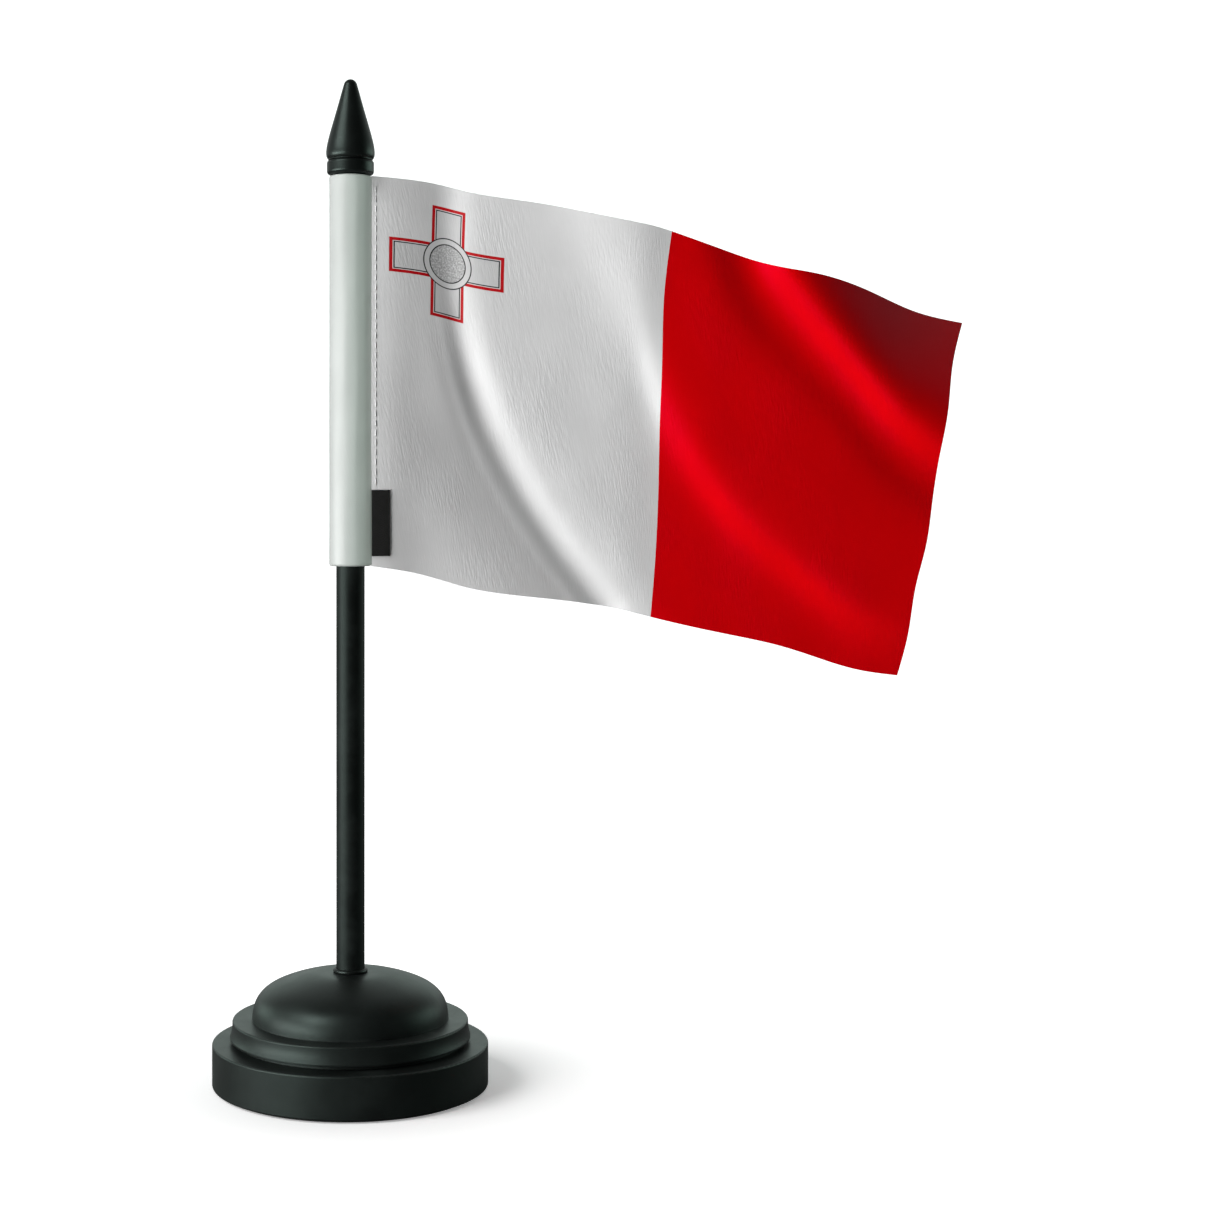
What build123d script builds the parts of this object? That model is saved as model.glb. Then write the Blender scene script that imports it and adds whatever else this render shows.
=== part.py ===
"""Desk flag stand: weighted round base, pole, finial and a small cloth flag on a sliding sleeve.

Millimetres, +Z up, origin at the centre of the pad's underside on the pole's axis, +X along the fly.
"""
import os
from math import cos, exp, pi, radians, sin

from build123d import *

# ---- driving dimensions ----------------------------------------------------------------------
# base, from the table up
PAD_HEIGHT = 0.6
PAD_RADIUS = 33.6
PLINTH_RADIUS = 35.35
PLINTH_TOP = 11.4
RISER_TOP_RADIUS = 30.2
RISER_FOOT_RADIUS = 30.8
RISER_GROOVE = 1.1  # height of the shadow groove under the riser
RISER_GROOVE_INSET = 1.4
RISER_LIP = 0.5  # upright edge at the riser's foot
RISER_FLARE = 1.9  # height of the flare above that edge
RISER_FLARE_END = 0.1  # how far out the flare still stands at its top
RISER_FLARE_BEND = 0.2  # height of the bend that turns the flare upright
RISER_TOP = 17.2
DOME_RADIUS = 25.15
DOME_TOP = 29.0  # flat seat for the socket's bead
DOME_SEAT_RADIUS = 6.5
DOME_SHOULDER = (17.95, 26.6)  # radius and height of two points on the dome's curve
DOME_BEND = (10.75, 28.65)
DOME_SHOULDER_INWARD = (0.46, 0.89)  # the way into the wall at the shoulder
WALL = 2.2
SPIGOT_LENGTH = 1.6  # each step locates in the hole of the step below
SPIGOT_RADIUS = 10.0
RIM_FILLET = 0.45
EDGE_EASE = 0.2

# pole and its socket
POLE_RADIUS = 3.65
POLE_BORE_RADIUS = 2.75
POLE_FOOT = 5.0
POLE_TOP = 237.2
RUNNING_GAP = 0.06
SOCKET_WALL = 0.4
SOCKET_FLOOR = 1.0
BEAD_RADIUS = 4.45
BEAD_HEIGHT = 1.1
BEAD_SINK = 0.1  # how far the bead is pressed into the dome
BEAD_LIP = 0.1  # flat edge round the bore
BEAD_BELLY = 0.45  # where the bead is widest, as a share of its height
NUT_ACROSS_FLATS = 13.0
NUT_HEIGHT = 3.0
NUT_CHAMFER = 0.25
WASHER_RADIUS = 8.0
WASHER_THICKNESS = 0.8

# bottom plate, screws and ballast
PLATE_THICKNESS = 1.6
PLATE_RADIUS = 32.4
PLATE_GAP = 0.2
SCREW_COUNT = 3
SCREW_CIRCLE = 24.0
SCREW_RADIUS = 1.25
SCREW_HEAD_RADIUS = 2.4
SCREW_LENGTH = 6.0
SCREW_SLOT_WIDTH = 0.5
SCREW_SLOT_DEPTH = 0.7
BOSS_RADIUS = 3.0
BALLAST_RADIUS = 31.5
BALLAST_BORE_RADIUS = 9.0
BALLAST_GAP = 0.3

# flag sleeve
SLEEVE_RADIUS = 5.5
SLEEVE_TOP = 233.1
SLEEVE_LENGTH = 100.0
SLEEVE_CLOTH = 0.4
LINER_CLEARANCE = 0.08
LINER_INSET = 0.6
LINER_FILLET = 0.4

# finial
FINIAL_TOP = 258.0
FINIAL_BULB_RADIUS = 6.15
FINIAL_BULB_HEIGHT = 240.3
FINIAL_GROOVE_RADIUS = 5.7
FINIAL_GROOVE_HEIGHT = 237.4
COLLAR_RADIUS = 6.05
COLLAR_BOTTOM = 233.4
COLLAR_FILLET = 0.9
STEM_LENGTH = 12.0
STEM_LEAD = 0.4  # bevel that leads the stem into the pole
TIP_RADIUS = 1.75
CONE_HALF_ANGLE = 16.5

# flag cloth
CLOTH_THICKNESS = 0.4
HOIST_GAP = 0.02
FOLD_DEPTH = 3.4
FOLD_PITCH = 0.32  # one fold to the next, as a share of the fly
FOLD_LEAN = 0.42  # how far a fold runs towards the fly on its way down
FIRST_FOLD = 0.08
FLY_SWAY = 16.0  # how far the fly's end swings back
FLY_STEPS = 20
DROP_STEPS = 10

# label and stitches
LABEL_WIDTH = 4.6
LABEL_LENGTH = 17.0
LABEL_BOTTOM = 135.6
LABEL_THICKNESS = 0.5
LABEL_FOLD_RADIUS = 0.2
STITCH_PITCH = 2.5
STITCH_LENGTH = 1.8
STITCH_WIDTH = 0.35
STITCH_HEIGHT = 0.25
STITCH_INSET = 1.0
STITCH_GAP = 0.2
SEAM_INSET = 2.0  # from each end of the sleeve to the first stitch
LABEL_GAP = 0.1

sleeve_bottom = SLEEVE_TOP - SLEEVE_LENGTH
cavity_roof = PLINTH_TOP - WALL
plate_top = PAD_HEIGHT + PLATE_THICKNESS
socket_radius = POLE_RADIUS + RUNNING_GAP + SOCKET_WALL
socket_bottom = POLE_FOOT - SOCKET_FLOOR
washer_bottom = cavity_roof - WASHER_THICKNESS
parts = []


def ring_section(inner, outer, bottom, top):
    """Rectangle of a turned ring, in the X-Z plane."""
    with Locations(((inner + outer) / 2, (bottom + top) / 2)):
        return Rectangle(outer - inner, top - bottom)


def finish(builder, label):
    """Name a finished piece and keep it for export."""
    builder.part.label = label
    parts.append(builder.part)


# ---- anti-slip pad ---------------------------------------------------------------------------
with BuildPart() as anti_slip_pad:
    with BuildSketch():
        Circle(PAD_RADIUS)
    extrude(amount=PAD_HEIGHT)
finish(anti_slip_pad, "anti_slip_pad")

# ---- plinth: a shell, open below, with three screw bosses --------------------------------------
with BuildPart() as base_plinth:
    with BuildSketch(Plane.XY.offset(PAD_HEIGHT)):
        Circle(PLINTH_RADIUS)
    extrude(amount=PLINTH_TOP - PAD_HEIGHT)
    rims = base_plinth.edges().filter_by(GeomType.CIRCLE)
    fillet(rims, radius=RIM_FILLET)
    with BuildSketch(Plane.XY.offset(PAD_HEIGHT)):
        Circle(PLATE_RADIUS + PLATE_GAP)
    extrude(amount=cavity_roof - PAD_HEIGHT, mode=Mode.SUBTRACT)
    with BuildSketch(Plane.XY.offset(plate_top)):
        with PolarLocations(SCREW_CIRCLE, SCREW_COUNT):
            Circle(BOSS_RADIUS)
            Circle(SCREW_RADIUS, mode=Mode.SUBTRACT)
    extrude(amount=cavity_roof - plate_top)
    with BuildSketch(Plane.XY.offset(cavity_roof)):
        Circle(socket_radius)
    extrude(amount=WALL, mode=Mode.SUBTRACT)
    with BuildSketch(Plane.XY.offset(PLINTH_TOP - SPIGOT_LENGTH)):
        Circle(SPIGOT_RADIUS)
    extrude(amount=SPIGOT_LENGTH, mode=Mode.SUBTRACT)
finish(base_plinth, "base_plinth")

# ---- riser: flared step with a groove under its edge, and a spigot below -----------------------
groove_radius = RISER_TOP_RADIUS - RISER_GROOVE_INSET
riser_foot = PLINTH_TOP + RISER_GROOVE
flare_foot = riser_foot + RISER_LIP
rim_foot = RISER_TOP - RIM_FILLET
with BuildPart() as base_riser:
    with BuildSketch(Plane.XZ):
        with BuildLine():
            Polyline(
                (socket_radius, PLINTH_TOP - SPIGOT_LENGTH),
                (SPIGOT_RADIUS, PLINTH_TOP - SPIGOT_LENGTH),
                (SPIGOT_RADIUS, PLINTH_TOP),
                (groove_radius, PLINTH_TOP),
                (groove_radius, riser_foot),
                (RISER_FOOT_RADIUS, riser_foot),
                (RISER_FOOT_RADIUS, flare_foot),
            )
            Spline(
                (RISER_FOOT_RADIUS, flare_foot),
                (RISER_TOP_RADIUS + RISER_FLARE_END, flare_foot + RISER_FLARE),
                (RISER_TOP_RADIUS, rim_foot - RISER_FLARE_BEND),
            )
            Polyline(
                (RISER_TOP_RADIUS, rim_foot - RISER_FLARE_BEND),
                (RISER_TOP_RADIUS, RISER_TOP),
                (SPIGOT_RADIUS, RISER_TOP),
                (SPIGOT_RADIUS, RISER_TOP - SPIGOT_LENGTH),
                (socket_radius, RISER_TOP - SPIGOT_LENGTH),
                (socket_radius, PLINTH_TOP - SPIGOT_LENGTH),
            )
        make_face()
    revolve(axis=Axis.Z)
    top_rim = base_riser.edges().filter_by(GeomType.CIRCLE).group_by(Axis.Z)[-1].sort_by(SortBy.RADIUS)[-1]
    fillet(top_rim, radius=RIM_FILLET)
    foot_rims = base_riser.edges().filter_by(GeomType.CIRCLE).sort_by(SortBy.RADIUS)[-2:]
    fillet(foot_rims, radius=EDGE_EASE)
finish(base_riser, "base_riser")

# ---- dome: round-shouldered with a flat seat on top, hollow, with the socket's neck inside ------
dome_rise = DOME_TOP - RISER_TOP


def dome_section(inset):
    """Half section of the dome, drawn this far inside its surface, as lines of the open sketch."""
    seat = (DOME_SEAT_RADIUS, DOME_TOP - inset)
    shoulder = tuple(DOME_SHOULDER[axis] - inset * DOME_SHOULDER_INWARD[axis] for axis in range(2))
    Spline(
        (DOME_RADIUS - inset, RISER_TOP),
        shoulder,
        (DOME_BEND[0], DOME_BEND[1] - inset),
        seat,
        tangents=((0, 1), (-1, 0)),
    )
    Polyline(seat, (0, DOME_TOP - inset), (0, RISER_TOP), (DOME_RADIUS - inset, RISER_TOP))


with BuildPart() as base_dome:
    with BuildSketch(Plane.XZ):
        with BuildLine():
            dome_section(0)
        make_face()
    revolve(axis=Axis.Z)
    with BuildSketch(Plane.XZ):
        with BuildLine():
            dome_section(WALL)
        make_face()
    revolve(axis=Axis.Z, mode=Mode.SUBTRACT)
    with BuildSketch(Plane.XY.offset(RISER_TOP - SPIGOT_LENGTH)):
        Circle(SPIGOT_RADIUS)
    extrude(amount=dome_rise - WALL / 2 + SPIGOT_LENGTH)
    with BuildSketch(Plane.XY.offset(RISER_TOP - SPIGOT_LENGTH)):
        Circle(socket_radius)
    extrude(amount=dome_rise + SPIGOT_LENGTH + WALL, mode=Mode.SUBTRACT)
finish(base_dome, "base_dome")

# ---- pole socket: blind tube whose rolled bead sits on the dome --------------------------------
bore_radius = POLE_RADIUS + RUNNING_GAP
bead_foot = DOME_TOP - BEAD_SINK
with BuildPart() as pole_socket:
    with BuildSketch(Plane.XZ):
        with BuildLine():
            Polyline((socket_radius, bead_foot), (socket_radius, socket_bottom), (0, socket_bottom))
            Line((0, socket_bottom), (0, bead_foot + BEAD_HEIGHT))
            Line((0, bead_foot + BEAD_HEIGHT), (bore_radius + BEAD_LIP, bead_foot + BEAD_HEIGHT))
            ThreePointArc(
                (bore_radius + BEAD_LIP, bead_foot + BEAD_HEIGHT),
                (BEAD_RADIUS, bead_foot + BEAD_HEIGHT * BEAD_BELLY),
                (socket_radius, bead_foot),
            )
        make_face()
    revolve(axis=Axis.Z)
    with BuildSketch(Plane.XY.offset(POLE_FOOT)):
        Circle(bore_radius)
    extrude(amount=DOME_TOP, mode=Mode.SUBTRACT)
finish(pole_socket, "pole_socket")

# ---- washer and nut that clamp the three steps together ----------------------------------------
with BuildPart() as socket_washer:
    with BuildSketch(Plane.XY.offset(washer_bottom)):
        Circle(WASHER_RADIUS)
        Circle(socket_radius, mode=Mode.SUBTRACT)
    extrude(amount=WASHER_THICKNESS)
finish(socket_washer, "socket_washer")

with BuildPart() as socket_nut:
    with BuildSketch(Plane.XY.offset(washer_bottom - NUT_HEIGHT)):
        RegularPolygon(radius=NUT_ACROSS_FLATS / 2, side_count=6, major_radius=False)
        Circle(socket_radius, mode=Mode.SUBTRACT)
    extrude(amount=NUT_HEIGHT)
    chamfer(socket_nut.edges().filter_by(GeomType.CIRCLE), length=NUT_CHAMFER)
finish(socket_nut, "socket_nut")

# ---- ballast: iron disc with holes for the nut and the screw bosses ----------------------------
ballast_bottom = plate_top
with BuildPart() as ballast_weight:
    with BuildSketch(Plane.XY.offset(ballast_bottom)):
        Circle(BALLAST_RADIUS)
        Circle(BALLAST_BORE_RADIUS, mode=Mode.SUBTRACT)
        with PolarLocations(SCREW_CIRCLE, SCREW_COUNT):
            Circle(BOSS_RADIUS + BALLAST_GAP, mode=Mode.SUBTRACT)
    extrude(amount=cavity_roof - BALLAST_GAP - ballast_bottom)
    outer_rims = ballast_weight.edges().filter_by(GeomType.CIRCLE).sort_by(SortBy.RADIUS)[-2:]
    chamfer(outer_rims, length=0.5)
finish(ballast_weight, "ballast_weight")

# ---- bottom plate and its screws ---------------------------------------------------------------
with BuildPart() as bottom_plate:
    with BuildSketch(Plane.XY.offset(PAD_HEIGHT)):
        Circle(PLATE_RADIUS)
    extrude(amount=PLATE_THICKNESS)
    with BuildSketch(Plane.XY.offset(PAD_HEIGHT)):
        with PolarLocations(SCREW_CIRCLE, SCREW_COUNT):
            Circle(SCREW_RADIUS)
    extrude(amount=PLATE_THICKNESS, mode=Mode.SUBTRACT)
    seats = bottom_plate.edges().filter_by(GeomType.CIRCLE).group_by(Axis.Z)[0].filter_by(
        lambda edge: edge.radius < SCREW_HEAD_RADIUS
    )
    chamfer(seats, length=SCREW_HEAD_RADIUS - SCREW_RADIUS)
finish(bottom_plate, "bottom_plate")

with BuildPart() as plate_screws:
    with BuildSketch(Plane.XY.offset(PAD_HEIGHT)):
        with PolarLocations(SCREW_CIRCLE, SCREW_COUNT):
            Circle(SCREW_RADIUS)
    extrude(amount=SCREW_LENGTH)
    with PolarLocations(SCREW_CIRCLE, SCREW_COUNT):
        with Locations((0, 0, PAD_HEIGHT + (SCREW_HEAD_RADIUS - SCREW_RADIUS) / 2)):
            Cone(
                bottom_radius=SCREW_HEAD_RADIUS,
                top_radius=SCREW_RADIUS,
                height=SCREW_HEAD_RADIUS - SCREW_RADIUS,
            )
    with BuildSketch(Plane.XY.offset(PAD_HEIGHT)):
        with PolarLocations(SCREW_CIRCLE, SCREW_COUNT):
            Rectangle(SCREW_RADIUS * 2.2, SCREW_SLOT_WIDTH)
            Rectangle(SCREW_SLOT_WIDTH, SCREW_RADIUS * 2.2)
    extrude(amount=SCREW_SLOT_DEPTH, mode=Mode.SUBTRACT)
finish(plate_screws, "plate_screws")

# ---- pole --------------------------------------------------------------------------------------
with BuildPart() as pole:
    with BuildSketch(Plane.XY.offset(POLE_FOOT)):
        Circle(POLE_RADIUS)
        Circle(POLE_BORE_RADIUS, mode=Mode.SUBTRACT)
    extrude(amount=POLE_TOP - POLE_FOOT)
    chamfer(pole.edges().filter_by(GeomType.CIRCLE).sort_by(SortBy.RADIUS)[-2:], length=EDGE_EASE)
finish(pole, "pole")

# ---- finial: blunt cone on a round bulb, with a stem that plugs into the pole -------------------
cone_angle = radians(CONE_HALF_ANGLE)
tip_centre = FINIAL_TOP - TIP_RADIUS
tangent_x = TIP_RADIUS * cos(cone_angle)
tangent_z = tip_centre + TIP_RADIUS * sin(cone_angle)
stem_radius = POLE_BORE_RADIUS - RUNNING_GAP
with BuildPart() as finial:
    with BuildSketch(Plane.XZ):
        with BuildLine():
            CenterArc((0, tip_centre), TIP_RADIUS, CONE_HALF_ANGLE, 90 - CONE_HALF_ANGLE)
            Spline(
                (tangent_x, tangent_z),
                (3.35, 250.8),
                (4.6, 246.5),
                (5.75, 242.3),
                (FINIAL_BULB_RADIUS, FINIAL_BULB_HEIGHT),
                (FINIAL_GROOVE_RADIUS, FINIAL_GROOVE_HEIGHT),
                tangents=((sin(cone_angle), -cos(cone_angle)), (-0.8, -0.6)),
            )
            Polyline(
                (FINIAL_GROOVE_RADIUS, FINIAL_GROOVE_HEIGHT),
                (FINIAL_GROOVE_RADIUS, POLE_TOP),
                (stem_radius, POLE_TOP),
                (stem_radius, POLE_TOP - STEM_LENGTH + STEM_LEAD),
                (stem_radius - STEM_LEAD, POLE_TOP - STEM_LENGTH),
                (0, POLE_TOP - STEM_LENGTH),
                (0, FINIAL_TOP),
            )
        make_face()
    revolve(axis=Axis.Z)
finish(finial, "finial")

with BuildPart() as finial_collar:
    with BuildSketch(Plane.XZ):
        ring_section(bore_radius, COLLAR_RADIUS, COLLAR_BOTTOM, POLE_TOP)
    revolve(axis=Axis.Z)
    collar_rims = finial_collar.edges().filter_by(GeomType.CIRCLE).sort_by(SortBy.RADIUS)[-2:]
    fillet(collar_rims, radius=COLLAR_FILLET)
finish(finial_collar, "finial_collar")

# ---- liner: stiff tube that runs on the pole, inside the flag's pocket --------------------------
pocket_bore = SLEEVE_RADIUS - SLEEVE_CLOTH
liner_radius = pocket_bore - LINER_CLEARANCE
with BuildPart() as sleeve_liner:
    with BuildSketch(Plane.XY.offset(sleeve_bottom + LINER_INSET)):
        Circle(liner_radius)
        Circle(POLE_RADIUS + LINER_CLEARANCE, mode=Mode.SUBTRACT)
    extrude(amount=SLEEVE_LENGTH - 2 * LINER_INSET)
    liner_rims = sleeve_liner.edges().filter_by(GeomType.CIRCLE).sort_by(SortBy.RADIUS)[-2:]
    fillet(liner_rims, radius=LINER_FILLET)
finish(sleeve_liner, "sleeve_liner")

# ---- flag sleeve: the pocket's cloth, with soft rounded ends ------------------------------------
with BuildPart() as flag_sleeve:
    with BuildSketch(Plane.XY.offset(sleeve_bottom)):
        Circle(SLEEVE_RADIUS)
        Circle(pocket_bore, mode=Mode.SUBTRACT)
    extrude(amount=SLEEVE_LENGTH)
    sleeve_rims = flag_sleeve.edges().filter_by(GeomType.CIRCLE).sort_by(SortBy.RADIUS)[-2:]
    fillet(sleeve_rims, radius=SLEEVE_CLOTH * 0.8)
finish(flag_sleeve, "flag_sleeve")

# ---- flag cloth: one sheet, hanging from the sleeve with slanted folds --------------------------
hoist_x = SLEEVE_RADIUS + HOIST_GAP
with BuildLine(Plane.XZ):
    top_edge = Spline(
        (hoist_x, 233.0), (31, 229), (57, 225), (82, 219.5), (108, 211.5), (136, 204.3), (164, 198)
    )
with BuildLine(Plane.XZ):
    bottom_edge = Spline(
        (hoist_x, 133.0), (29, 127.3), (54, 124), (78, 119.5), (100, 114.7), (123, 108.3), (145, 103.1)
    )


def flag_point(fly, drop):
    """A point of the cloth: fly runs 0 to 1 away from the pole, drop 0 to 1 from top to bottom."""
    above = top_edge @ fly
    below = bottom_edge @ fly
    fold_phase = 2 * pi * (fly - FIRST_FOLD - FOLD_LEAN * drop**2) / FOLD_PITCH
    growth = 1 - exp(-((fly / FOLD_PITCH) ** 2) * 3)
    depth = FLY_SWAY * fly**2 + FOLD_DEPTH * growth * cos(fold_phase)
    bow = sin(pi * drop) * fly**4 * 2.5
    return Vector(
        above.X + (below.X - above.X) * drop + bow,
        depth,
        above.Z + (below.Z - above.Z) * drop,
    )


sheet_points = [
    [flag_point(i / FLY_STEPS, j / DROP_STEPS) for i in range(FLY_STEPS + 1)]
    for j in range(DROP_STEPS + 1)
]
with BuildPart() as flag_cloth:
    sheet = Face.make_surface_from_array_of_points(sheet_points)
    thicken(sheet, amount=CLOTH_THICKNESS / 2, both=True)
finish(flag_cloth, "flag_cloth")

# ---- label: small folded tab, sewn in beside the pocket, in front of the cloth ------------------
label_front = -CLOTH_THICKNESS / 2 - LABEL_GAP - LABEL_THICKNESS
with BuildPart() as woven_label:
    with BuildSketch(Plane.XY.offset(LABEL_BOTTOM)):
        with Locations((SLEEVE_RADIUS + LABEL_WIDTH / 2, label_front + LABEL_THICKNESS / 2)):
            Rectangle(LABEL_WIDTH, LABEL_THICKNESS)
    extrude(amount=LABEL_LENGTH)
    folded_edge = woven_label.edges().filter_by(Axis.Z).group_by(Axis.X)[-1]
    fillet(folded_edge, radius=LABEL_FOLD_RADIUS)
finish(woven_label, "woven_label")

# ---- stitches that close the pocket against the flag, left out behind the label -----------------
stitch_x = SLEEVE_RADIUS + STITCH_INSET
stitch_face = CLOTH_THICKNESS / 2 + STITCH_GAP
seam_top = SLEEVE_TOP - SEAM_INSET
back_count = int((SLEEVE_LENGTH - 2 * SEAM_INSET) / STITCH_PITCH)
back_middle = sleeve_bottom + SLEEVE_LENGTH / 2
front_bottom = LABEL_BOTTOM + LABEL_LENGTH + STITCH_PITCH
front_count = int((seam_top - front_bottom) / STITCH_PITCH)
front_middle = (front_bottom + seam_top) / 2
with BuildPart() as seam_thread:
    with BuildSketch(Plane.XZ.offset(stitch_face)):
        with Locations((stitch_x, front_middle)):
            with GridLocations(0, STITCH_PITCH, 1, front_count):
                SlotOverall(STITCH_LENGTH, STITCH_WIDTH, rotation=90)
    extrude(amount=STITCH_HEIGHT)
    with BuildSketch(Plane.XZ.offset(-stitch_face)):
        with Locations((stitch_x, back_middle)):
            with GridLocations(0, STITCH_PITCH, 1, back_count):
                SlotOverall(STITCH_LENGTH, STITCH_WIDTH, rotation=90)
    extrude(amount=-STITCH_HEIGHT)
finish(seam_thread, "seam_thread")

os.makedirs("parts", exist_ok=True)
for part in parts:
    export_step(part, f"parts/{part.label}.step")
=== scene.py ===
"""Desk flag stand: cloth, label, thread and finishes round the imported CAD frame.

Metres, +Z up, +X along the fly, the camera looks along +Y. Cloth shapes are drawn in millimetres.
"""
import math

import bpy
import numpy as np
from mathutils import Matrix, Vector


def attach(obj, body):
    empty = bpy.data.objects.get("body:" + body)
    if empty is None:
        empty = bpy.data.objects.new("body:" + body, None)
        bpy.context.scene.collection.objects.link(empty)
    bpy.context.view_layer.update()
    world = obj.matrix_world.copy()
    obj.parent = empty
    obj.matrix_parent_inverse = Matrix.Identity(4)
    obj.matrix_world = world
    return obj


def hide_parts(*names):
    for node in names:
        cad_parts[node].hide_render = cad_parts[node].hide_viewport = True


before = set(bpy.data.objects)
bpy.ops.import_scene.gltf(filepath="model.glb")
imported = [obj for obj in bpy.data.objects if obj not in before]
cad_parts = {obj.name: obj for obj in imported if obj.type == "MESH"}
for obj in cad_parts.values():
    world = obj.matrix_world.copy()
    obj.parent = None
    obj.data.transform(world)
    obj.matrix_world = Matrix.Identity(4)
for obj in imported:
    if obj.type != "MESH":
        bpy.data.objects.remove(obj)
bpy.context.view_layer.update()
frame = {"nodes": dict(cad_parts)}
MM = 0.001

# ---- camera and light --------------------------------------------------------------------------
CAMERA_PLACE = (0.0211, -0.5609, 0.1537)
CAMERA_LENS = 64.8
CAMERA_SHIFT = (0.1436, -0.1)
CAMERA_CLIP = (0.01, 50)
LIGHT_TARGET = (0.02, 0.0, 0.11)
WHITE_LIGHT = (1.0, 1.0, 1.0)
RIM_LIGHT = (0.78, 1.0, 0.9)
BACK_LIGHT = (0.75, 1.0, 0.9)
POCKET_LIGHT = (0.86, 1.0, 0.91)
POCKET_RIM_LIGHT = (0.84, 1.0, 0.9)
WORLD_COLOUR = (0.95, 1.0, 0.98, 1)
WORLD_FADE = (-0.25, 0.8, 0.05, 0.64)  # from and to along +Y, and the strengths there
WORLD_SEEN = 1.3
FLOOR_REACH = 4.0
FLOOR_GLOW = (0.045, 0.17, 0.28, 1.0)  # from and to in metres off the pole, and the strengths there

# ---- flag, in millimetres ------------------------------------------------------------------------
# The points of the four outlines below (the cloth's three free edges and the border between its two
# fields) were traced from the picture by a script, resampled and rounded, not chosen by hand. They
# are as seen on the plane through the pole's axis.
HOIST = 100.0
FLY = 160.0
FLAG_THICKNESS = 0.2
FLY_CELLS = 320
HOIST_CELLS = 200
HEM_CELL = 0.04  # thin cell along each rim
TOP_EDGE = [
    (5.3, 233.2), (20, 231.5), (32, 228.7), (46, 226.6), (60, 224.1), (74, 221.3), (82.5, 219),
    (95, 214.5), (107.5, 210.5), (120.5, 208), (133, 203.7), (144.7, 198.4), (157, 195.4),
]
BOTTOM_EDGE = [
    (5.3, 133), (18, 130.9), (30, 127.5), (42.7, 125.5), (55, 124.2), (67, 122.4), (77, 120),
    (87.5, 117.5), (98, 115.3), (109, 112.9), (119, 109.8), (129.5, 106.6), (140.3, 105),
]
FLY_EDGE = [
    (157, 195.4), (154.5, 184.4), (153.4, 173), (151.3, 161.6), (149.4, 150), (147.8, 138.6),
    (145, 127.4), (143.2, 116), (140.3, 105),
]
BOUNDARY = [
    (82.5, 219), (80.5, 202.5), (80, 186), (79.4, 169.3), (79, 152.8), (78.3, 136.4), (77, 120),
]

# ---- folds; u runs along the fly and v down the hoist, both from 0 to 1 --------------------------
# each fold's place along the fly at height v, and how fast that place moves with v
FOLD_LINES = {
    "near": (
        lambda v: 0.14 + 0.02 * v + 0.27 * v**2.6,
        lambda v: 0.02 + 0.7 * v**1.6,
    ),
    "middle": (
        lambda v: 0.34 + 0.33 * v + 0.14 * v**3 + 0.5 * v**8,
        lambda v: 0.33 + 0.42 * v**2 + 4.0 * v**7,
    ),
    "far": (
        lambda v: 0.67 + 0.47 * v + v**2,
        lambda v: 0.47 + 2 * v,
    ),
}
# fold, how far before its line, width, wider when low, step back, more when low, more when lowest
FOLD_STEPS = [
    ("near", 8, 4, 0, 0.9, 2.2, 0),
    ("near", 16, 8, 0, 0, 0, 3.4),
    ("near", 0, 4.4, -1.2, -2.2, -1.3, 0),
    ("near", -7, 5, 0, 0, 0, -1.2),
    ("near", 9, 1.6, 0, 0, -0.7, 0),
    ("near", 5.5, 1.6, 0, 0, 0.7, 0),
    ("middle", 0, 8, -2.5, -3.2, 0, 0),
    ("middle", 0, 4, 0, 0, -0.6, -3.2),
    ("far", 11, 4, 0, 2.5, 0, 0),
    ("far", 0, 4.2, 0, -6.8, 0, 0),
]
LOW = (0.35, 0.12)  # share of the hoist where the folds start to deepen, and how gradually
LOWEST = (0.62, 0.13)
LEAN = 0.15  # millimetres back for each millimetre of fly
CURL_START = 8  # the fly's upper corner curls back from this far past the far fold
CURL_WIDTH = 3
CURL_SLOPE = 0.8
CURL_END = 0.65  # share of the hoist where the curl has died away
CURL_FADE = 0.7
HELD_SHARE = 0.05  # share of the fly over which the pocket holds the folds flat
TURN_BACK = 2.6  # how far the cloth turns back beside the pocket
TURN_SHARE = 0.07  # over this share of the fly

# ---- pocket, label and thread, in millimetres ----------------------------------------------------
POCKET_RADIUS = 5.5
POCKET_TOP = 233.1
POCKET_LENGTH = 100.0
POCKET_CLOTH = 0.3
POCKET_SIDES = 96
POCKET_ROWS = 120
LIP_RADIUS = 0.45
LIP_REACH = 0.75
LIP_STEPS = 7
POCKET_EASE = 0.09  # how far the cloth sinks between its ends
LABEL_BOTTOM = 135.6
LABEL_LENGTH = 17.0
LABEL_WIDTH = 4.6
LABEL_TAPE = 0.16
LABEL_GAP = 0.05  # between the label and the flag
LABEL_FOLD_GAP = 0.03  # between the label's two layers
LABEL_TUCK = 0.15  # how far it starts inside the pocket's outline
LABEL_SWELL = 0.06
SEAM_INSET = 1.0
SEAM_MARGIN = 2.0  # from the last stitch to the pocket's end
SEAM_ABOVE_LABEL = 1.2
STITCH_PITCH = 2.5
STITCH_LENGTH = 1.9
THREAD_RADIUS = 0.1
THREAD_SIDES = 8
THREAD_RINGS = 9

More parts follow.
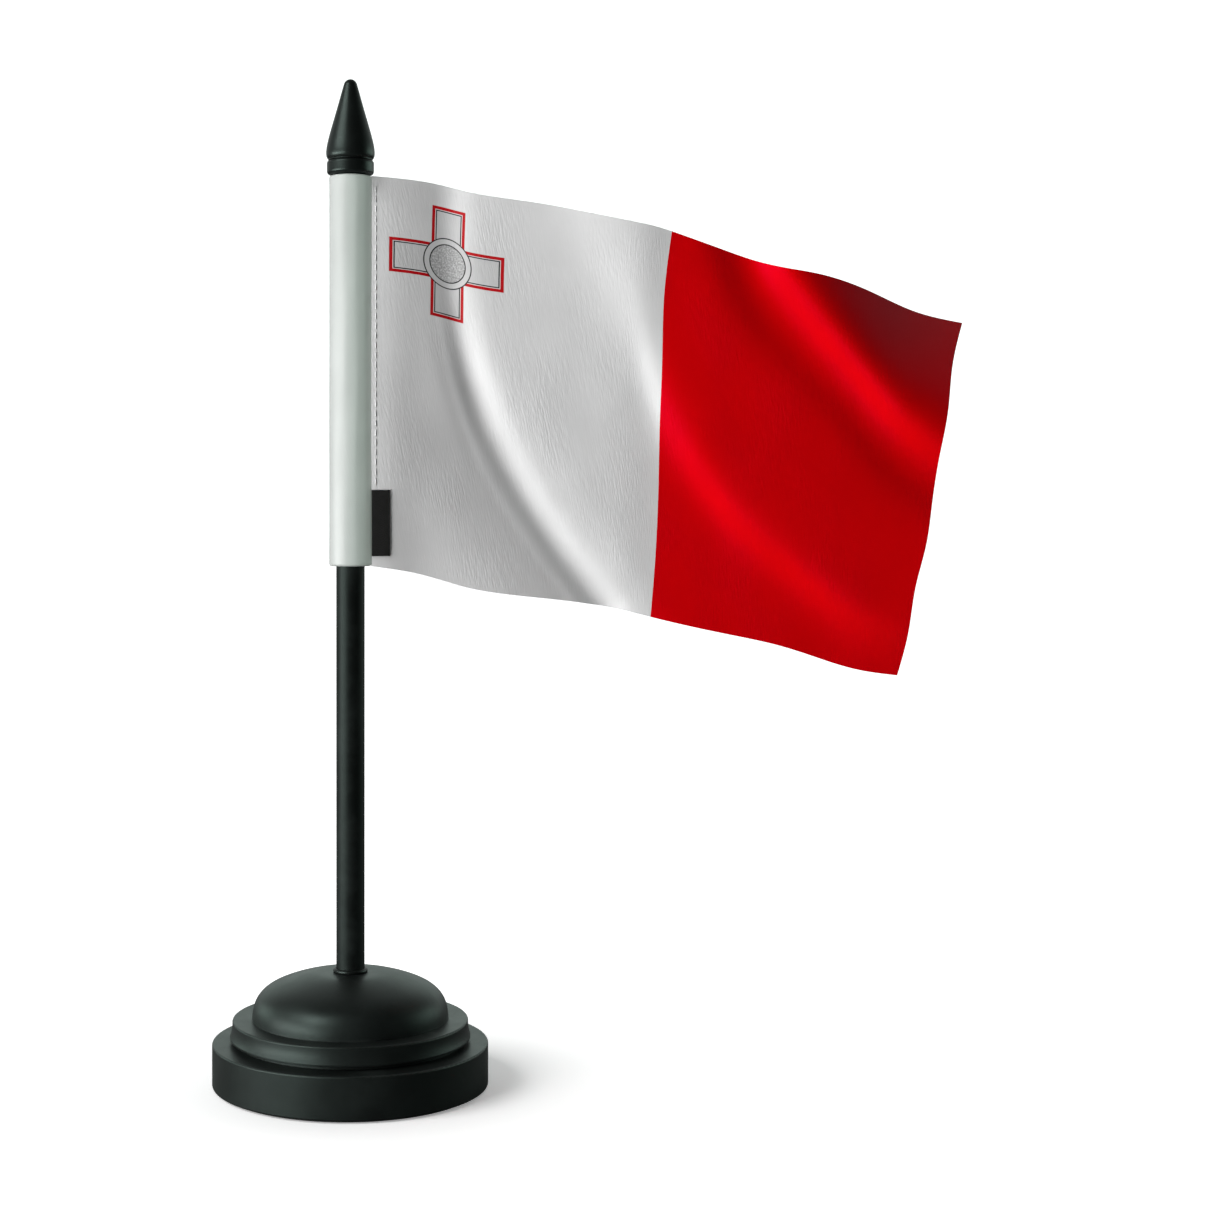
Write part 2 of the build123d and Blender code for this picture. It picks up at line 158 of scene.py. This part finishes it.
# ---- emblem printed on the hoist's upper corner, in millimetres ----------------------------------
EMBLEM_PLACE = (19.4, 19.5)
EMBLEM_STRETCH = (1.04, 0.95)
EMBLEM_SPAN = 29.5
EMBLEM_ARM = 9.3
BORDER = 0.8
LINE_INSET = 1.0
LINE_WIDTH = 0.3
BOSS_RADIUS = 6.6
BOSS_INNER = 5.0
PRINT_BLUR = 0.03  # half the width over which a printed edge fades
BOSS_BLUR = 0.05
EMBLEM_GROUND = 0.68
EMBLEM_RED = (0.56, 0.0005, 0.005, 1)
EMBLEM_DISC = 0.36
EMBLEM_LINE = 0.015


# ---- mesh helpers --------------------------------------------------------------------------------
def add_object(name, mesh):
    piece = bpy.data.objects.new(name, mesh)
    bpy.context.scene.collection.objects.link(piece)
    return piece


def grid_mesh(name, points, uvs, closed=False):
    """Smooth mesh from rows of points; closed joins the last column to the first."""
    rows, columns = points.shape[:2]
    faces = []
    for r in range(rows - 1):
        for c in range(columns if closed else columns - 1):
            n = (c + 1) % columns
            this, below = r * columns, (r + 1) * columns
            faces.append((this + c, this + n, below + n, below + c))
    mesh = bpy.data.meshes.new(name)
    mesh.from_pydata(points.reshape(-1, 3).tolist(), [], faces)
    corners = np.zeros(len(mesh.loops), int)
    mesh.loops.foreach_get("vertex_index", corners)
    layer = mesh.uv_layers.new(name="cloth")
    layer.data.foreach_set("uv", uvs.reshape(-1, 2)[corners].ravel())
    mesh.polygons.foreach_set("use_smooth", [True] * len(mesh.polygons))
    return mesh


def solidify(piece, thickness):
    solid = piece.modifiers.new("thickness", "SOLIDIFY")
    solid.thickness = thickness * MM
    solid.offset = 0


# ---- flag ----------------------------------------------------------------------------------------
def smooth_curve(points, t):
    """Natural cubic through equally spaced points, read at t from 0 to 1."""
    p = np.array(points, float)
    n = len(p) - 1
    system = np.diag(np.full(n + 1, 4.0)) + np.diag(np.ones(n), 1) + np.diag(np.ones(n), -1)
    system[0, 0] = system[n, n] = 2.0
    right = np.zeros_like(p)
    right[1:-1] = 3 * (p[2:] - p[:-2])
    right[0], right[-1] = 3 * (p[1] - p[0]), 3 * (p[-1] - p[-2])
    slope = np.linalg.solve(system, right)
    x = np.clip(t, 0, 1) * n
    k = np.minimum(x.astype(int), n - 1)
    f = (x - k)[..., None]
    a, b, sa, sb = p[k], p[k + 1], slope[k], slope[k + 1]
    return a + sa * f + (3 * (b - a) - 2 * sa - sb) * f**2 + (2 * (a - b) + sa + sb) * f**3


def across(u, v, fold):
    """Distance from a fold's line, measured square to it in the cloth; positive on the fly side."""
    line, slant = FOLD_LINES[fold]
    return FLY * (u - line(v)) / np.sqrt(1 + (FLY / HOIST * slant(v)) ** 2)


def step(distance, width):
    """Smooth step from 0 to 1, centred on a fold line."""
    return (1 + np.tanh(distance / width)) / 2


def softplus(distance, width):
    """Smooth ramp that starts to rise at a fold line."""
    return width * np.log1p(np.exp(distance / width))


def flag_depth(u, v):
    """How far back the cloth lies, from three long folds that sweep down towards the fly."""
    low = step(v - LOW[0], LOW[1])
    lowest = step(v - LOWEST[0], LOWEST[1])
    back = LEAN * FLY * u
    for fold, before, width, wider, rise, low_rise, lowest_rise in FOLD_STEPS:
        height = rise + low_rise * low + lowest_rise * lowest
        back = back + height * step(across(u, v, fold) + before, width + wider * low)
    fade = np.clip(1 - v / CURL_END, 0, 1) ** CURL_FADE
    back = back + CURL_SLOPE * softplus(across(u, v, "far") - CURL_START, CURL_WIDTH) * fade
    held_at_hoist = 1 - np.exp(-((u / HELD_SHARE) ** 2))
    return back * held_at_hoist + TURN_BACK * (1 - np.exp(-u / TURN_SHARE))


def flag_points(u, v):
    """The outline as seen from the front, with every point moved back along its line of sight."""
    down = v[..., None]
    sheet = smooth_curve(TOP_EDGE, u) * (1 - down) + smooth_curve(BOTTOM_EDGE, u) * down
    near_fly = np.clip(2 * u - 1, 0, 1) ** 2
    near_middle = np.sin(np.pi * u) ** 2
    for edge, share in ((FLY_EDGE, near_fly), (BOUNDARY, near_middle)):
        chord = np.array(edge[0]) * (1 - down) + np.array(edge[-1]) * down
        sheet = sheet + (smooth_curve(edge, v) - chord) * share[..., None]
    back = flag_depth(u, v)
    eye = np.array([CAMERA_PLACE[0], CAMERA_PLACE[2]]) / MM
    sheet = eye + (sheet - eye) * (1 - back * MM / CAMERA_PLACE[1])[..., None]
    return np.stack([sheet[..., 0], back, sheet[..., 1]], axis=-1) * MM


def hemmed_steps(cells, length):
    """Even steps from 0 to 1 with one thin cell inside each end, so that the rim looks crisp."""
    hem = HEM_CELL / length
    return np.r_[0, hem, np.linspace(0, 1, cells + 1)[1:-1], 1 - hem, 1]


def make_flag():
    u, v = np.meshgrid(hemmed_steps(FLY_CELLS, FLY), hemmed_steps(HOIST_CELLS, HOIST))
    uvs = np.stack([u * FLY, (1 - v) * HOIST], axis=-1) * MM
    mesh = grid_mesh("flag_fabric", flag_points(u, v), uvs)
    piece = add_object("flag_fabric", mesh)
    mesh.materials.append(white_cloth())
    mesh.materials.append(red_cloth())
    columns = u.shape[1] - 1
    column = np.arange(len(mesh.polygons)) % columns
    mesh.polygons.foreach_set("material_index", (column >= columns // 2).astype(np.int32))
    solidify(piece, FLAG_THICKNESS)
    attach(piece, "flag")
    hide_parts("flag_cloth")


# ---- pocket: cloth tube over the liner, its ends turned in ---------------------------------------
def make_pocket():
    wall = POCKET_RADIUS - POCKET_CLOTH / 2
    bottom = POCKET_TOP - POCKET_LENGTH + POCKET_CLOTH / 2
    top = POCKET_TOP - POCKET_CLOTH / 2
    turn = np.linspace(0, math.pi / 2, LIP_STEPS)
    straight = np.linspace(bottom + 2 * LIP_RADIUS, top - 2 * LIP_RADIUS, POCKET_ROWS)
    profile = [(wall - LIP_REACH, bottom)]
    for a in turn:
        inward, upward = LIP_RADIUS * (1 - math.sin(a)), LIP_RADIUS * (1 - math.cos(a))
        profile.append((wall - inward, bottom + upward))
    profile += [(wall, z) for z in straight]
    for a in turn:
        inward, downward = LIP_RADIUS * (1 - math.cos(a)), LIP_RADIUS * (1 - math.sin(a))
        profile.append((wall - inward, top - downward))
    profile.append((wall - LIP_REACH, top))
    profile = np.array(profile)
    angle = np.linspace(0, 2 * math.pi, POCKET_SIDES + 1)[:-1]
    a, r = np.meshgrid(angle, profile[:, 0])
    z = np.repeat(profile[:, 1:], len(angle), axis=1)
    ease = np.sin(math.pi * np.clip((z - bottom) / (top - bottom), 0, 1)) ** 0.5
    slack = 0.05 * np.sin(3 * a + 0.06 * z)
    slack = slack + 0.04 * np.sin(7 * a - 0.05 * z + 1.3) * np.sin(0.09 * z)
    r = r - (POCKET_EASE - slack) * ease
    points = np.stack([r * np.cos(a), r * np.sin(a), z], axis=-1) * MM
    uvs = np.stack([a * POCKET_RADIUS, z], axis=-1) * MM
    mesh = grid_mesh("pocket_fabric", points, uvs, closed=True)
    piece = add_object("pocket_fabric", mesh)
    mesh.materials.append(pocket_cloth())
    solidify(piece, POCKET_CLOTH)
    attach(piece, "flag")
    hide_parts("flag_sleeve")


def depth_near_hoist(x, z):
    """How far back the cloth lies beside the pocket, where it still hangs nearly square."""
    return flag_depth(np.clip((x - POCKET_RADIUS) / FLY, 0, 1), (POCKET_TOP - z) / HOIST)


# ---- label: woven tape folded into a tab and sewn in beside the pocket ---------------------------
def make_label():
    front = -FLAG_THICKNESS / 2 - LABEL_GAP - LABEL_TAPE / 2
    gap = LABEL_TAPE + LABEL_FOLD_GAP
    bend = gap / 2
    tip = POCKET_RADIUS + LABEL_WIDTH - bend - LABEL_TAPE / 2
    run = np.linspace(POCKET_RADIUS - LABEL_TUCK, tip, 14)
    turn = np.linspace(-math.pi / 2, math.pi / 2, 9)[1:-1]
    section = [(x, front) for x in run]
    section += [(run[-1] + bend * math.cos(t), front - bend - bend * math.sin(t)) for t in turn]
    section += [(x, front - gap) for x in run[::-1]]
    section = np.array(section)
    length = np.r_[0, np.cumsum(np.hypot(*np.diff(section, axis=0).T))]
    z = np.linspace(LABEL_BOTTOM, LABEL_BOTTOM + LABEL_LENGTH, 41)
    x = np.repeat(section[None, :, 0], len(z), axis=0)
    y = np.repeat(section[None, :, 1], len(z), axis=0)
    height = np.repeat(z[:, None], len(section), axis=1)
    swell = LABEL_SWELL * np.sin(math.pi * (height - LABEL_BOTTOM) / LABEL_LENGTH)
    y = y - swell * (x - x.min()) / LABEL_WIDTH
    y = y + depth_near_hoist(x, height)
    points = np.stack([x, y, height], axis=-1) * MM
    uvs = np.stack([np.repeat(length[None], len(z), axis=0), height], axis=-1) * MM
    mesh = grid_mesh("label_tab", points, uvs)
    piece = add_object("label_tab", mesh)
    mesh.materials.append(label_tape())
    solidify(piece, LABEL_TAPE)
    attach(piece, "flag")
    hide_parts("woven_label")


# ---- stitches: short arched threads, in front above the label and all along the back -------------
def stitch_rows():
    """Side (-1 in front, 1 behind) and middle height of every stitch."""
    bottom = POCKET_TOP - POCKET_LENGTH + SEAM_MARGIN
    top = POCKET_TOP - SEAM_MARGIN - STITCH_LENGTH / 2
    label_top = LABEL_BOTTOM + LABEL_LENGTH
    for side, start in ((-1, label_top + SEAM_ABOVE_LABEL), (1, bottom)):
        for z in np.arange(start, top, STITCH_PITCH):
            yield side, z + STITCH_LENGTH / 2


def make_stitches():
    x = POCKET_RADIUS + SEAM_INSET
    around = np.linspace(0, 2 * math.pi, THREAD_SIDES + 1)[:-1]
    along = np.linspace(-1, 1, THREAD_RINGS)
    points, faces = [], []
    for side, middle in stitch_rows():
        back = depth_near_hoist(x, middle)
        first = len(points)
        for t in along:
            thread = THREAD_RADIUS * math.sqrt(max(1 - t**8, 0.02))
            lift = FLAG_THICKNESS / 2 + THREAD_RADIUS * (0.95 - 1.6 * t**6)
            start = len(points)
            for a in around:
                across_x = x + thread * math.cos(a)
                out_y = back + side * (lift + thread * math.sin(a))
                points.append((across_x * MM, out_y * MM, (middle + t * STITCH_LENGTH / 2) * MM))
            if t > -1:
                before = start - THREAD_SIDES
                for k in range(THREAD_SIDES):
                    n = (k + 1) % THREAD_SIDES
                    quad = (before + k, before + n, start + n, start + k)
                    faces.append(quad if side < 0 else quad[::-1])
        end_cap = tuple(range(start, start + THREAD_SIDES))
        first_cap = tuple(range(first, first + THREAD_SIDES))
        faces.append(end_cap if side < 0 else end_cap[::-1])
        faces.append(first_cap[::-1] if side < 0 else first_cap)
    mesh = bpy.data.meshes.new("seam_stitches")
    mesh.from_pydata(points, [], faces)
    mesh.polygons.foreach_set("use_smooth", [True] * len(mesh.polygons))
    piece = add_object("seam_stitches", mesh)
    mesh.materials.append(thread_cotton())
    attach(piece, "flag")
    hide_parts("seam_thread")


# ---- materials -----------------------------------------------------------------------------------
class Graph:
    """A new material's node tree, with short calls for the nodes that repeat."""

    def __init__(self, name):
        self.material = bpy.data.materials.new(name)
        self.material.use_nodes = True
        self.tree = self.material.node_tree
        self.shader = self.tree.nodes["Principled BSDF"]

    def node(self, kind, **settings):
        node = self.tree.nodes.new(kind)
        for key, value in settings.items():
            setattr(node, key, value)
        return node

    def link(self, source, target):
        if isinstance(source, (int, float, tuple)):
            target.default_value = source
        else:
            self.tree.links.new(source, target)

    def math(self, operation, a, b=0.0):
        node = self.node("ShaderNodeMath", operation=operation)
        self.link(a, node.inputs[0])
        self.link(b, node.inputs[1])
        return node.outputs[0]

    def mix(self, share, a, b):
        node = self.node("ShaderNodeMix", data_type="RGBA")
        self.link(share, node.inputs[0])
        self.link(a, node.inputs[6])
        self.link(b, node.inputs[7])
        return node.outputs[2]

    def place(self, cloth=True, scale=(1, 1, 1), turn=0):
        """Cloth or object coordinates, in millimetres times scale, turned by degrees."""
        if cloth:
            source = self.node("ShaderNodeUVMap", uv_map="cloth").outputs[0]
        else:
            source = self.node("ShaderNodeTexCoord").outputs["Object"]
        mapping = self.node("ShaderNodeMapping")
        mapping.vector_type = "TEXTURE"
        mapping.inputs["Scale"].default_value = tuple(MM / s for s in scale)
        mapping.inputs["Rotation"].default_value = (0, 0, math.radians(turn))
        self.link(source, mapping.inputs[0])
        return mapping.outputs[0]

    def noise(self, place, scale=1.0, detail=2.0, roughness=0.5):
        node = self.node("ShaderNodeTexNoise")
        self.link(place, node.inputs["Vector"])
        node.inputs["Scale"].default_value = scale
        node.inputs["Detail"].default_value = detail
        node.inputs["Roughness"].default_value = roughness
        return node.outputs[0]

    def spread(self, value, low, high, new_low=0.0, new_high=1.0):
        node = self.node("ShaderNodeMapRange")
        self.link(value, node.inputs[0])
        for index, number in enumerate((low, high, new_low, new_high)):
            node.inputs[index + 1].default_value = number
        return node.outputs[0]

    def bump(self, height, distance, strength=1.0):
        node = self.node("ShaderNodeBump")
        node.inputs["Strength"].default_value = strength
        node.inputs["Distance"].default_value = distance * MM
        self.link(height, node.inputs["Height"])
        return node.outputs[0]

    def set(self, **values):
        for key, value in values.items():
            self.link(value, self.shader.inputs[key.replace("_", " ")])


def grey(value):
    return (value, value, value, 1)


def slub(graph):
    """Fine uneven ribs down the cloth, broken into short lengths, over a tight plain weave."""
    ribs = graph.noise(graph.place(scale=(2.1, 0.3, 1), turn=12), detail=1.5)
    broad = graph.noise(graph.place(scale=(0.05, 0.035, 1)), detail=1.0)
    patches = graph.math("ADD", graph.math("MULTIPLY", graph.spread(broad, 0.35, 0.65), 0.8), 0.2)
    threads = graph.node("ShaderNodeTexWave", wave_type="BANDS", bands_direction="X")
    graph.link(graph.place(), threads.inputs["Vector"])
    threads.inputs["Scale"].default_value = 1.1
    threads.inputs["Distortion"].default_value = 1.6
    threads.inputs["Detail"].default_value = 1.0
    threads.inputs["Detail Scale"].default_value = 0.25
    ribbed = graph.math("ADD", ribs, graph.math("MULTIPLY", threads.outputs[0], 0.25))
    return graph.math("MULTIPLY", ribbed, patches)


def emblem(graph, cloth):
    """Plain equal-armed cross, outlined in red and thinly in black, with a plain ringed boss."""
    split = graph.node("ShaderNodeSeparateXYZ")
    graph.link(graph.place(), split.inputs[0])
    from_left = graph.math("SUBTRACT", split.outputs[0], EMBLEM_PLACE[0])
    from_below = graph.math("SUBTRACT", split.outputs[1], HOIST - EMBLEM_PLACE[1])
    x = graph.math("DIVIDE", from_left, EMBLEM_STRETCH[0])
    y = graph.math("DIVIDE", from_below, EMBLEM_STRETCH[1])
    wide, tall = graph.math("ABSOLUTE", x), graph.math("ABSOLUTE", y)

    def bar(a, b):
        reach = graph.math("SUBTRACT", a, EMBLEM_SPAN / 2)
        return graph.math("MAXIMUM", reach, graph.math("SUBTRACT", b, EMBLEM_ARM / 2))

    cross = graph.math("MINIMUM", bar(wide, tall), bar(tall, wide))
    squares = graph.math("ADD", graph.math("MULTIPLY", x, x), graph.math("MULTIPLY", y, y))
    radius = graph.math("SQRT", squares)

    def band(distance, place, width):
        away = graph.math("ABSOLUTE", graph.math("SUBTRACT", distance, place))
        return graph.spread(away, width / 2 + PRINT_BLUR, width / 2 - PRINT_BLUR)

    boss = graph.spread(radius, BOSS_RADIUS + BOSS_BLUR, BOSS_RADIUS - BOSS_BLUR)
    outside_boss = graph.math("SUBTRACT", 1.0, boss)
    field = graph.spread(cross, -LINE_INSET + PRINT_BLUR, -LINE_INSET - PRINT_BLUR)
    colour = graph.mix(graph.math("MAXIMUM", field, boss), cloth, grey(EMBLEM_GROUND))
    red_line = graph.math("MULTIPLY", band(cross, -BORDER / 2, BORDER), outside_boss)
    colour = graph.mix(red_line, colour, EMBLEM_RED)
    outer_ring = band(radius, BOSS_RADIUS, LINE_WIDTH)
    rings = graph.math("MAXIMUM", outer_ring, band(radius, BOSS_INNER, LINE_WIDTH))
    inner_line = band(cross, -LINE_INSET - LINE_WIDTH / 2, LINE_WIDTH)
    thin = graph.math("MULTIPLY", inner_line, outside_boss)
    disc = graph.spread(radius, BOSS_INNER, BOSS_INNER - 2 * BOSS_BLUR)
    grain = graph.noise(graph.place(scale=(2.2, 2.2, 1)), detail=3.0)
    speckle = graph.math("MULTIPLY", disc, graph.spread(grain, 0.35, 0.6))
    colour = graph.mix(speckle, colour, grey(EMBLEM_DISC))
    return graph.mix(graph.math("MAXIMUM", thin, rings), colour, grey(EMBLEM_LINE))


def printed_cloth(name, ground, highlight, gloss, printed=False):
    """Ribbed cloth in one ground colour; printed adds the emblem and a slight sheen."""
    graph = Graph(name)
    tone = graph.noise(graph.place(scale=(0.08, 0.05, 1)), detail=3.0)
    shade = tuple(channel * 0.94 for channel in ground[:3]) + (1,)
    colour = graph.mix(graph.spread(tone, 0.35, 0.65), shade, ground)
    if printed:
        colour = emblem(graph, colour)
    ribs = slub(graph)
    graph.set(Base_Color=colour, Normal=graph.bump(ribs, 0.12, 0.75))
    graph.set(Roughness=graph.spread(ribs, 0.1, 0.8, 0.42, 0.56))
    graph.set(Specular_IOR_Level=gloss, Specular_Tint=highlight)
    if printed:
        graph.set(Sheen_Weight=0.08, Sheen_Roughness=0.4)
    return graph.material


def white_cloth():
    return printed_cloth("printed_white", grey(0.84), grey(1.0), 0.35, printed=True)


def red_cloth():
    ground = (0.76, 0.0005, 0.0005, 1)
    return printed_cloth("printed_red", ground, (0.7, 0.02, 1.0, 1), 0.12)


def pocket_cloth():
    graph = Graph("pocket_mint_white")
    tone = graph.noise(graph.place(scale=(0.1, 0.06, 1)), detail=3.0)
    shade, ground = (0.325, 0.336, 0.328, 1), (0.345, 0.357, 0.348, 1)
    colour = graph.mix(graph.spread(tone, 0.35, 0.65), shade, ground)
    ribs = slub(graph)
    graph.set(Base_Color=colour, Normal=graph.bump(ribs, 0.06, 0.6), Roughness=0.42)
    graph.set(Specular_IOR_Level=0.4, Sheen_Weight=0.1, Sheen_Roughness=0.4)
    return graph.material


def label_tape():
    graph = Graph("label_black_tape")
    split = graph.node("ShaderNodeSeparateXYZ")
    graph.link(graph.place(), split.inputs[0])
    warp_pitch, weft_pitch = 0.28, 0.22
    warp = graph.math("SINE", graph.math("MULTIPLY", split.outputs[0], 2 * math.pi / warp_pitch))
    weft = graph.math("SINE", graph.math("MULTIPLY", split.outputs[1], 2 * math.pi / weft_pitch))
    weave = graph.math("MULTIPLY", warp, weft)
    colour = graph.mix(graph.spread(weave, -1, 1), grey(0.006), (0.019, 0.019, 0.018, 1))
    graph.set(Base_Color=colour, Normal=graph.bump(weave, 0.03))
    graph.set(Roughness=0.7, Specular_IOR_Level=0.2)
    return graph.material


def thread_cotton():
    graph = Graph("thread_white")
    twist = graph.node("ShaderNodeTexWave", wave_type="BANDS", bands_direction="DIAGONAL")
    graph.link(graph.place(cloth=False), twist.inputs["Vector"])
    twist.inputs["Scale"].default_value = 2.6
    colour = graph.mix(twist.outputs[0], grey(0.6), grey(0.74))
    graph.set(Base_Color=colour, Normal=graph.bump(twist.outputs[0], 0.03), Roughness=0.7)
    return graph.material


def satin_black(name, roughness, grain, grain_size, specular):
    """Dark moulded or painted surface: fine grain, cool reflections, faint patchy highlights
    painted along the edges.
    """
    graph = Graph(name)
    place = graph.place(cloth=False)
    fine = graph.noise(place, scale=1 / grain_size, detail=3.0)
    broad = graph.noise(place, scale=0.09, detail=4.0, roughness=0.6)
    dark, pale = (0.0035, 0.0040, 0.0038, 1), (0.0055, 0.0066, 0.0062, 1)
    colour = graph.mix(graph.spread(broad, 0.4, 0.7), dark, pale)
    # painted highlight: a lighter colour on sharp edges, in broad patches, in place of the thin
    # light lines that reflections draw along the rims
    edge = graph.node("ShaderNodeNewGeometry").outputs["Pointiness"]
    edge_highlight_paint = graph.math("MULTIPLY", graph.spread(edge, 0.54, 0.62), graph.spread(broad, 0.45, 0.65))
    colour = graph.mix(graph.math("MULTIPLY", edge_highlight_paint, 0.5), colour, (0.03, 0.036, 0.034, 1))
    rough = graph.spread(broad, 0.3, 0.7, roughness - 0.03, roughness + 0.05)
    graph.set(Base_Color=colour, Roughness=rough, Normal=graph.bump(fine, grain))
    graph.set(Specular_IOR_Level=specular, Specular_Tint=(0.76, 1.0, 0.91, 1))
    return graph.material


def grained(name, colour, roughness, grain, grain_size, metallic=0.0):
    """Plain material with a fine grain and broad uneven tone."""
    graph = Graph(name)
    place = graph.place(cloth=False)
    fine = graph.noise(place, scale=1 / grain_size, detail=4.0)
    broad = graph.noise(place, scale=0.15, detail=3.0)
    dark = tuple(channel * 0.75 for channel in colour) + (1,)
    mixed = graph.mix(graph.spread(broad, 0.35, 0.65), dark, tuple(colour) + (1,))
    graph.set(Base_Color=mixed, Normal=graph.bump(fine, grain), Metallic=metallic)
    graph.set(Roughness=graph.spread(broad, 0.3, 0.7, roughness - 0.05, roughness + 0.05))
    return graph.material


def finish_cad_nodes():
    """Give each CAD piece that stays in sight or inside its finish."""
    base = satin_black("satin_black_base", 0.42, 0.012, 0.25, specular=0.22)
    turned = satin_black("satin_black_finial", 0.35, 0.01, 0.3, specular=0.28)
    paint = satin_black("satin_black_paint", 0.48, 0.008, 0.5, specular=0.15)
    iron = grained("ballast_iron", (0.11, 0.10, 0.095), 0.65, 0.15, 0.8, metallic=0.6)
    zinc = grained("zinc_steel", (0.55, 0.57, 0.58), 0.35, 0.01, 0.4, metallic=1.0)
    finishes = {
        "base_plinth": base,
        "base_riser": base,
        "base_dome": base,
        "pole_socket": turned,
        "finial": turned,
        "finial_collar": turned,
        "pole": paint,
        "anti_slip_pad": grained("pad_foam_rubber", (0.014, 0.014, 0.014), 0.85, 0.12, 0.35),
        "bottom_plate": grained("plate_plastic", (0.02, 0.021, 0.021), 0.5, 0.02, 0.3),
        "ballast_weight": iron,
        "sleeve_liner": grained("liner_plastic", (0.7, 0.74, 0.71), 0.4, 0.01, 0.3),
        "plate_screws": zinc,
        "socket_washer": zinc,
        "socket_nut": zinc,
    }
    for name, material in finishes.items():
        mesh = frame["nodes"][name].data
        mesh.materials.clear()
        mesh.materials.append(material)


# ---- stage: floor, world, lights and camera ------------------------------------------------------
def make_floor():
    """White to the eye all round, dimmer as a light source."""
    signs = ((-1, -1), (1, -1), (1, 1), (-1, 1))
    corners = [(x * FLOOR_REACH, y * FLOOR_REACH, 0) for x, y in signs]
    mesh = bpy.data.meshes.new("studio_floor")
    mesh.from_pydata(corners, [], [(0, 1, 2, 3)])
    graph = Graph("studio_floor")
    seen = graph.node("ShaderNodeLightPath").outputs["Is Camera Ray"]
    graph.set(Base_Color=graph.mix(seen, grey(0.22), grey(1.08)))
    graph.set(Roughness=1.0, Specular_IOR_Level=0.0)
    away = graph.node("ShaderNodeVectorMath", operation="LENGTH")
    graph.link(graph.node("ShaderNodeTexCoord").outputs["Object"], away.inputs[0])
    glow = graph.spread(away.outputs["Value"], *FLOOR_GLOW)
    graph.set(Emission_Color=grey(1.0), Emission_Strength=graph.math("MULTIPLY", seen, glow))
    mesh.materials.append(graph.material)
    add_object("studio_floor", mesh)


def direction(azimuth, elevation):
    """Unit vector to a place round the object: azimuth 0 is the viewer's side, 90 their left."""
    a, e = math.radians(azimuth), math.radians(elevation)
    return Vector((-math.sin(a) * math.cos(e), -math.cos(a) * math.cos(e), math.sin(e)))


def make_softbox(
    name, azimuth, elevation, distance, size, power, colour=WHITE_LIGHT, only=(), clear=()
):
    """Area light aimed at the object.

    Where only is given, it lights just those pieces. The clear pieces throw no shadow in it.
    """
    light = bpy.data.lights.new(name, "AREA")
    light.shape = "RECTANGLE"
    light.size, light.size_y = size
    light.energy = power
    light.color = colour
    lamp = bpy.data.objects.new(name, light)
    bpy.context.scene.collection.objects.link(lamp)
    toward = direction(azimuth, elevation)
    lamp.location = Vector(LIGHT_TARGET) + toward * distance
    lamp.rotation_euler = toward.to_track_quat("Z", "Y").to_euler()
    if only:
        lit = bpy.data.collections.new(name)
        for piece in only:
            lit.objects.link(piece)
        lamp.light_linking.receiver_collection = lit
    if clear:
        shadowless = bpy.data.collections.new(name + "_clear")
        for piece in clear:
            shadowless.objects.link(piece)
        for entry in shadowless.collection_objects:
            entry.light_linking.link_state = "EXCLUDE"
        lamp.light_linking.blocker_collection = shadowless


def make_world():
    """White to the eye; as a light source, pale behind the object and dim on the viewer's side."""
    world = bpy.data.worlds.new("studio")
    bpy.context.scene.world = world
    world.use_nodes = True
    nodes, links = world.node_tree.nodes, world.node_tree.links
    split = nodes.new("ShaderNodeSeparateXYZ")
    links.new(nodes.new("ShaderNodeTexCoord").outputs["Generated"], split.inputs[0])
    fade = nodes.new("ShaderNodeMapRange")
    for index, number in enumerate(WORLD_FADE):
        fade.inputs[index + 1].default_value = number
    links.new(split.outputs[1], fade.inputs[0])
    seen = nodes.new("ShaderNodeMix")
    links.new(nodes.new("ShaderNodeLightPath").outputs["Is Camera Ray"], seen.inputs[0])
    links.new(fade.outputs[0], seen.inputs[2])
    seen.inputs[3].default_value = WORLD_SEEN
    links.new(seen.outputs[0], nodes["Background"].inputs["Strength"])
    nodes["Background"].inputs["Color"].default_value = WORLD_COLOUR


def make_camera():
    data = bpy.data.cameras.new("front_camera")
    data.lens = CAMERA_LENS
    data.shift_x, data.shift_y = CAMERA_SHIFT
    data.clip_start, data.clip_end = CAMERA_CLIP
    camera = bpy.data.objects.new("front_camera", data)
    camera.location = CAMERA_PLACE
    camera.rotation_euler = (math.radians(90), 0, 0)
    bpy.context.scene.collection.objects.link(camera)
    bpy.context.scene.camera = camera


def make_lights():
    nodes = frame["nodes"]
    pocket = [bpy.data.objects["pocket_fabric"]]
    mast = pocket + [nodes[name] for name in ("sleeve_liner", "pole")]
    base = [nodes[name] for name in ("base_dome", "base_riser", "base_plinth")]
    black = base + [nodes[name] for name in ("pole", "pole_socket", "finial", "finial_collar")]
    make_softbox("key_low", 62, -5, 0.95, (1.0, 0.22), 20.1, clear=mast)
    make_softbox("key_high", 56, 36, 1.2, (0.8, 0.5), 9.3, clear=mast)
    make_softbox("rim_right", -108, 10, 1.2, (0.9, 0.5), 3, RIM_LIGHT, only=black)
    make_softbox("rim_left", 118, 6, 1.2, (0.5, 0.4), 2.2, RIM_LIGHT, only=base)
    make_softbox("rim_top", 46, 28, 1.0, (0.22, 0.22), 4.0, only=base)
    make_softbox("back_soft", 180, 16, 1.4, (1.8, 0.5), 2.4, BACK_LIGHT, only=base)
    make_softbox("pocket_front", -15, 5, 1.3, (0.6, 0.6), 9.0, POCKET_LIGHT, only=pocket)
    make_softbox("pocket_rim", -72, 8, 1.2, (0.4, 0.6), 3.6, POCKET_RIM_LIGHT, only=pocket)


make_flag()
make_pocket()
make_label()
make_stitches()
finish_cad_nodes()
make_floor()
make_world()
make_lights()
make_camera()
bpy.context.scene.view_settings.view_transform = "Standard"
